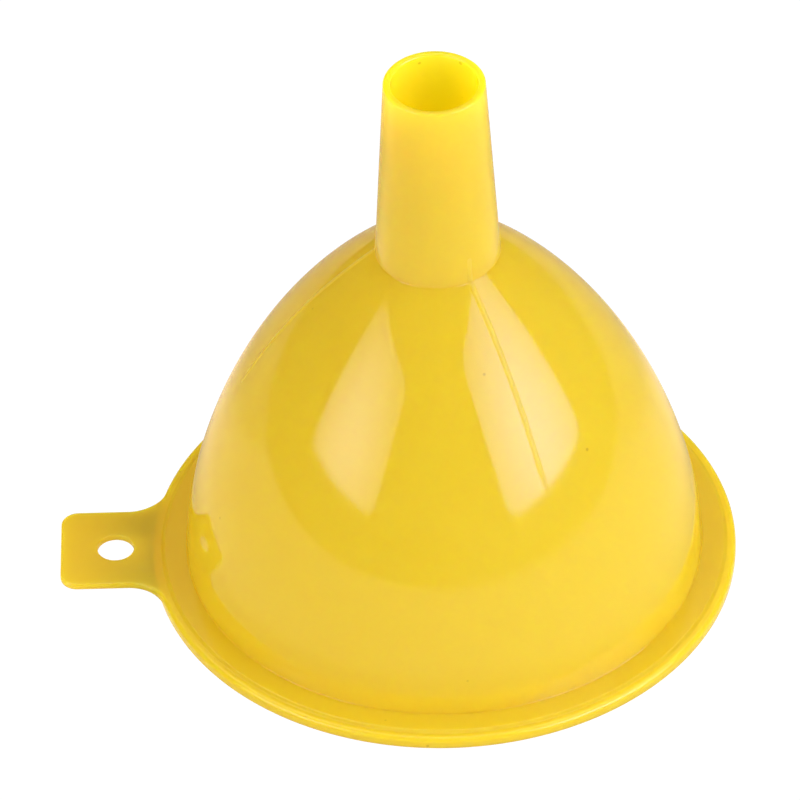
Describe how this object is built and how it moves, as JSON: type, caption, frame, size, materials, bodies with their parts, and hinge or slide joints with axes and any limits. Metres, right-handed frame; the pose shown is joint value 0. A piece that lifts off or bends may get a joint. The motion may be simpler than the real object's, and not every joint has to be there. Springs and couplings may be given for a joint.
{
  "type": "funnel",
  "caption": "Plastic funnel standing mouth down: domed bowl, straight tapered spout, flanged mouth with a stepped bead, air ribs and a hanging tab with a round hole.",
  "frame": {"origin": "centre of the mouth, on the plane that the rim's bead stands on", "axes": "+Z along the funnel's axis towards the spout's tip, -X towards the hanging tab"},
  "size_m": [0.139, 0.12, 0.1232],
  "materials": {
    "yellow_plastic": "gloss, slightly translucent"
  },
  "bodies": {
    "root": {"spout": "yellow_plastic", "bowl": "yellow_plastic", "collar": "yellow_plastic", "rim_flange": "yellow_plastic", "rim_bead": "yellow_plastic", "hang_tab": "yellow_plastic", "air_rib_left": "yellow_plastic", "air_rib_front": "yellow_plastic", "air_rib_back": "yellow_plastic"}
  },
  "joints": []
}
